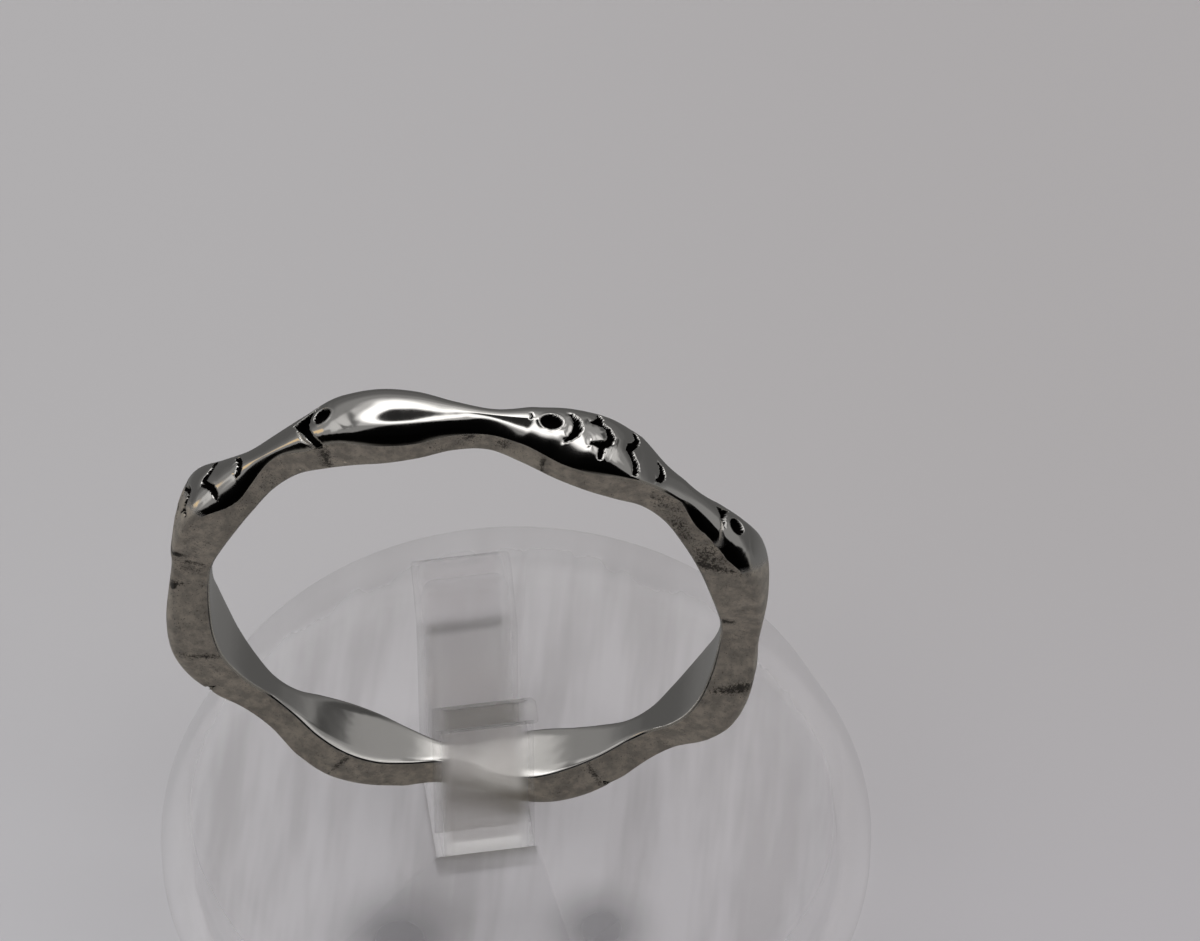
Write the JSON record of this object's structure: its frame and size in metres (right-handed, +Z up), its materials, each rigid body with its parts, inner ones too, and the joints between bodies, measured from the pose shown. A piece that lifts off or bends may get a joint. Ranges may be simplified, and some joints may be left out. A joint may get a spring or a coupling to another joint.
{
  "type": "fish ring on a clear display stand",
  "caption": "Cast silver finger ring formed as a loop of small fish, held upright by a clear two-leaf clip on a round foot.",
  "frame": {"origin": "middle of the foot's underside", "axes": "+Z up through the stand, Y along the axis of the upright ring from front to back, +X to the right along the band"},
  "size_m": [0.025, 0.025, 0.0253],
  "materials": {
    "silver": "polished cast silver, matte on the flat sides and blackened in the cuts",
    "clear_plastic": "clear moulded acrylic"
  },
  "bodies": {
    "root": {"ring_band": "silver", "stand_clip": "clear_plastic", "stand_base": "clear_plastic"}
  },
  "joints": []
}
